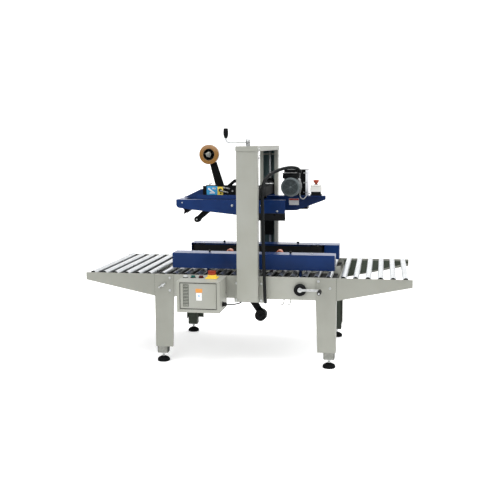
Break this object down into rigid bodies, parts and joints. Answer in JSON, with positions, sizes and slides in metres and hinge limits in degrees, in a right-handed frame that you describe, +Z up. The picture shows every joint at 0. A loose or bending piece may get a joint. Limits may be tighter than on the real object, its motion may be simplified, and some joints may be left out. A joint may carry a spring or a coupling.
{
  "type": "carton sealer machine",
  "caption": "Free-standing carton sealer: roller bed on four legs, side drive belts, crank-raised taping head between two columns, tape cartridges above and below.",
  "frame": {"origin": "on the floor, under the middle of the machine's box", "axes": "+X along the conveyor to the outfeed end, +Y across it away from the operator, +Z up"},
  "size_m": [2.065, 1.134, 1.48],
  "materials": {
    "grey_enamel": "satin",
    "blue_enamel": "satin",
    "black_enamel": "satin",
    "zinc_steel": "satin",
    "motor_casting": "matte",
    "leg_steel": "satin",
    "black_plastic": "matte",
    "grey_plastic": "satin",
    "red_plastic": "gloss",
    "green_plastic": "gloss",
    "white_plastic": "gloss",
    "belt_rubber": "matte",
    "roller_rubber": "matte",
    "tape_film": "gloss",
    "rod_aluminium": "satin"
  },
  "bodies": {
    "root": {"bed_frame": "grey_enamel", "infeed_table_frame": "grey_enamel", "outfeed_table_frame": "grey_enamel", "bed_rollers": "zinc_steel", "outer_legs": "grey_enamel", "column_near": "grey_enamel", "column_far": "grey_enamel", "bridge_cap": "grey_enamel", "control_box": "grey_enamel", "control_panel_fittings": "grey_plastic", "control_cable": "black_plastic", "frame_fasteners": "zinc_steel", "lower_cartridge_frame": "black_enamel"},
    "head": {"head_beam": "black_enamel", "head_plate_near": "blue_enamel", "head_plate_far": "blue_enamel", "head_motor": "motor_casting", "drive_cover": "blue_enamel", "stop_box": "grey_plastic", "stop_cable": "grey_plastic", "motor_conduit": "black_plastic", "upper_cartridge_frame": "black_enamel"},
    "near_belt_unit": {"near_belt_housing": "blue_enamel", "near_side_belt": "belt_rubber"},
    "far_belt_unit": {"far_belt_housing": "blue_enamel", "far_side_belt": "belt_rubber"},
    "inner_legs": {"inner_legs": "leg_steel"},
    "lift_screw_near": {"lift_screw_near": "zinc_steel"},
    "lift_screw_far": {"lift_screw_far": "zinc_steel"},
    "lift_crank_grip": {"lift_crank_grip": "black_plastic"},
    "top_drive_roller": {"top_drive_roller": "roller_rubber"},
    "stop_button": {"stop_button": "red_plastic"},
    "upper_front_arm": {"upper_front_arm": "black_enamel"},
    "upper_rear_arm": {"upper_rear_arm": "black_enamel"},
    "lower_front_arm": {"lower_front_arm": "black_enamel"},
    "lower_rear_arm": {"lower_rear_arm": "black_enamel"},
    "lower_tape_hub": {"lower_tape_hub": "black_plastic"},
    "near_drive_drum": {"near_drive_drum": "rod_aluminium"},
    "far_drive_drum": {"far_drive_drum": "rod_aluminium"},
    "width_screw": {"width_screw": "zinc_steel"},
    "width_crank_grip": {"width_crank_grip": "black_plastic"},
    "control_box_door": {"control_box_door": "grey_enamel"},
    "main_switch_knob": {"main_switch_knob": "red_plastic"},
    "start_button": {"start_button": "green_plastic"},
    "stop_push_button": {"stop_push_button": "red_plastic"},
    "jog_button": {"jog_button": "white_plastic"},
    "upper_tape_hub": {"upper_tape_hub": "black_plastic", "tape_roll": "tape_film"},
    "outfeed_roller_1": {"outfeed_roller_1": "zinc_steel"},
    "infeed_roller_1": {"infeed_roller_1": "zinc_steel"},
    "outfeed_roller_2": {"outfeed_roller_2": "zinc_steel"},
    "infeed_roller_2": {"infeed_roller_2": "zinc_steel"},
    "outfeed_roller_3": {"outfeed_roller_3": "zinc_steel"},
    "infeed_roller_3": {"infeed_roller_3": "zinc_steel"},
    "outfeed_roller_4": {"outfeed_roller_4": "zinc_steel"},
    "infeed_roller_4": {"infeed_roller_4": "zinc_steel"},
    "outfeed_roller_5": {"outfeed_roller_5": "zinc_steel"},
    "infeed_roller_5": {"infeed_roller_5": "zinc_steel"},
    "outfeed_roller_6": {"outfeed_roller_6": "zinc_steel"},
    "infeed_roller_6": {"infeed_roller_6": "zinc_steel"}
  },
  "joints": [
    {"name": "head_lift", "type": "slide", "parent": "root", "child": "head", "axis": [0, 0, 1], "range_m": [-0.18, 0.16], "deforming": ["motor_conduit"]},
    {"name": "belt_width", "type": "slide", "parent": "root", "child": "near_belt_unit", "axis": [0, 1, 0], "range_m": [-0.06, 0.115]},
    {"name": "far_belt_width", "type": "slide", "parent": "root", "child": "far_belt_unit", "axis": [0, 1, 0], "range_m": [-0.116, 0.061]},
    {"name": "bed_height", "type": "slide", "parent": "root", "child": "inner_legs", "axis": [0, 0, -1], "range_m": [-0.03, 0.11]},
    {"name": "door_hinge", "type": "hinge", "parent": "root", "child": "control_box_door", "pos_m": [-0.133, -0.563, 0.472], "axis": [0, 0, 1], "range_deg": [0, 110]},
    {"name": "main_switch", "type": "hinge", "parent": "root", "child": "main_switch_knob", "pos_m": [-0.182, -0.435, 0.588], "axis": [0, 0, -1], "range_deg": [0, 90]},
    {"name": "jog_button_press", "type": "slide", "parent": "root", "child": "jog_button", "axis": [0, 0, -1], "range_m": [0, 0.004], "stiffness_N_per_m": 800, "springref_m": -0.002},
    {"name": "start_button_press", "type": "slide", "parent": "root", "child": "start_button", "axis": [0, 0, -1], "range_m": [0, 0.004], "stiffness_N_per_m": 800, "springref_m": -0.002},
    {"name": "stop_push_button_press", "type": "slide", "parent": "root", "child": "stop_push_button", "axis": [0, 0, -1], "range_m": [0, 0.004], "stiffness_N_per_m": 800, "springref_m": -0.002},
    {"name": "stop_button_press", "type": "slide", "parent": "head", "child": "stop_button", "axis": [0, 0, -1], "range_m": [0, 0.005], "stiffness_N_per_m": 1200, "springref_m": -0.003},
    {"name": "upper_front_arm_swing", "type": "hinge", "parent": "head", "child": "upper_front_arm", "pos_m": [-0.246, 0.077, 1.011], "axis": [0, 1, 0], "range_deg": [0, 36], "stiffness_Nm_per_rad": 3, "springref_deg": -8.59},
    {"name": "upper_rear_arm_swing", "type": "hinge", "parent": "head", "child": "upper_rear_arm", "pos_m": [-0.196, 0.077, 1.011], "axis": [0, 1, 0], "range_deg": [-36.5, 0.5]},
    {"name": "upper_tape_hub_spin", "type": "hinge", "parent": "head", "child": "upper_tape_hub", "pos_m": [-0.305, 0.077, 1.316], "axis": [0, 1, 0], "continuous": true},
    {"name": "lower_front_arm_swing", "type": "hinge", "parent": "root", "child": "lower_front_arm", "pos_m": [-0.025, 0.077, 0.53], "axis": [0, 1, 0], "range_deg": [-36, 0], "stiffness_Nm_per_rad": 3, "springref_deg": 80.21},
    {"name": "lower_rear_arm_swing", "type": "hinge", "parent": "root", "child": "lower_rear_arm", "pos_m": [0.025, 0.077, 0.53], "axis": [0, 1, 0], "range_deg": [-0.5, 36.5]},
    {"name": "lower_tape_hub_spin", "type": "hinge", "parent": "root", "child": "lower_tape_hub", "pos_m": [0.04, 0.077, 0.23], "axis": [0, 1, 0], "continuous": true},
    {"name": "lift_screw_near_turn", "type": "hinge", "parent": "root", "child": "lift_screw_near", "pos_m": [0.038, -0.3815, 1], "axis": [0, 0, 1], "range_deg": [-13200, 11800]},
    {"name": "lift_screw_far_turn", "type": "hinge", "parent": "root", "child": "lift_screw_far", "pos_m": [0.038, 0.5355, 1], "axis": [0, 0, 1], "range_deg": [-13200, 11800]},
    {"name": "width_screw_turn", "type": "hinge", "parent": "root", "child": "width_screw", "pos_m": [0.354, 0.077, 0.495], "axis": [0, 1, 0], "range_deg": [-4500, 8500]},
    {"name": "lift_grip_spin", "type": "hinge", "parent": "lift_screw_near", "child": "lift_crank_grip", "pos_m": [-0.098, -0.3815, 1.44], "axis": [0, 0, 1], "continuous": true},
    {"name": "side_grip_spin", "type": "hinge", "parent": "width_screw", "child": "width_crank_grip", "pos_m": [0.478, -0.423, 0.495], "axis": [0, 1, 0], "continuous": true},
    {"name": "top_drive_roller_spin", "type": "hinge", "parent": "head", "child": "top_drive_roller", "pos_m": [0.15, 0.077, 0.925], "axis": [0, 1, 0], "continuous": true},
    {"name": "near_drum_spin", "type": "hinge", "parent": "near_belt_unit", "child": "near_drive_drum", "pos_m": [0.406, -0.157, 0.64], "axis": [0, 0, 1], "continuous": true},
    {"name": "far_drum_spin", "type": "hinge", "parent": "far_belt_unit", "child": "far_drive_drum", "pos_m": [0.406, 0.311, 0.64], "axis": [0, 0, 1], "continuous": true},
    {"name": "outfeed_roller_1_spin", "type": "hinge", "parent": "root", "child": "outfeed_roller_1", "pos_m": [0.616, 0.077, 0.562], "axis": [0, 1, 0], "continuous": true},
    {"name": "infeed_roller_1_spin", "type": "hinge", "parent": "root", "child": "infeed_roller_1", "pos_m": [-0.616, 0.077, 0.562], "axis": [0, 1, 0], "continuous": true},
    {"name": "outfeed_roller_2_spin", "type": "hinge", "parent": "root", "child": "outfeed_roller_2", "pos_m": [0.691, 0.077, 0.562], "axis": [0, 1, 0], "continuous": true},
    {"name": "infeed_roller_2_spin", "type": "hinge", "parent": "root", "child": "infeed_roller_2", "pos_m": [-0.691, 0.077, 0.562], "axis": [0, 1, 0], "continuous": true},
    {"name": "outfeed_roller_3_spin", "type": "hinge", "parent": "root", "child": "outfeed_roller_3", "pos_m": [0.766, 0.077, 0.562], "axis": [0, 1, 0], "continuous": true},
    {"name": "infeed_roller_3_spin", "type": "hinge", "parent": "root", "child": "infeed_roller_3", "pos_m": [-0.766, 0.077, 0.562], "axis": [0, 1, 0], "continuous": true},
    {"name": "outfeed_roller_4_spin", "type": "hinge", "parent": "root", "child": "outfeed_roller_4", "pos_m": [0.841, 0.077, 0.562], "axis": [0, 1, 0], "continuous": true},
    {"name": "infeed_roller_4_spin", "type": "hinge", "parent": "root", "child": "infeed_roller_4", "pos_m": [-0.841, 0.077, 0.562], "axis": [0, 1, 0], "continuous": true},
    {"name": "outfeed_roller_5_spin", "type": "hinge", "parent": "root", "child": "outfeed_roller_5", "pos_m": [0.916, 0.077, 0.562], "axis": [0, 1, 0], "continuous": true},
    {"name": "infeed_roller_5_spin", "type": "hinge", "parent": "root", "child": "infeed_roller_5", "pos_m": [-0.916, 0.077, 0.562], "axis": [0, 1, 0], "continuous": true},
    {"name": "outfeed_roller_6_spin", "type": "hinge", "parent": "root", "child": "outfeed_roller_6", "pos_m": [0.991, 0.077, 0.562], "axis": [0, 1, 0], "continuous": true},
    {"name": "infeed_roller_6_spin", "type": "hinge", "parent": "root", "child": "infeed_roller_6", "pos_m": [-0.991, 0.077, 0.562], "axis": [0, 1, 0], "continuous": true}
  ],
  "couplings": [
    {"joint": "far_belt_width", "follows": "belt_width", "ratio": -1},
    {"joint": "width_screw_turn", "follows": "belt_width", "rad_per_m": 1256.6},
    {"joint": "lift_screw_near_turn", "follows": "head_lift", "rad_per_m": 1256.6},
    {"joint": "lift_screw_far_turn", "follows": "head_lift", "rad_per_m": 1256.6},
    {"joint": "upper_rear_arm_swing", "follows": "upper_front_arm_swing", "ratio": -1},
    {"joint": "lower_rear_arm_swing", "follows": "lower_front_arm_swing", "ratio": -1},
    {"joint": "far_drum_spin", "follows": "near_drum_spin", "ratio": -1}
  ]
}
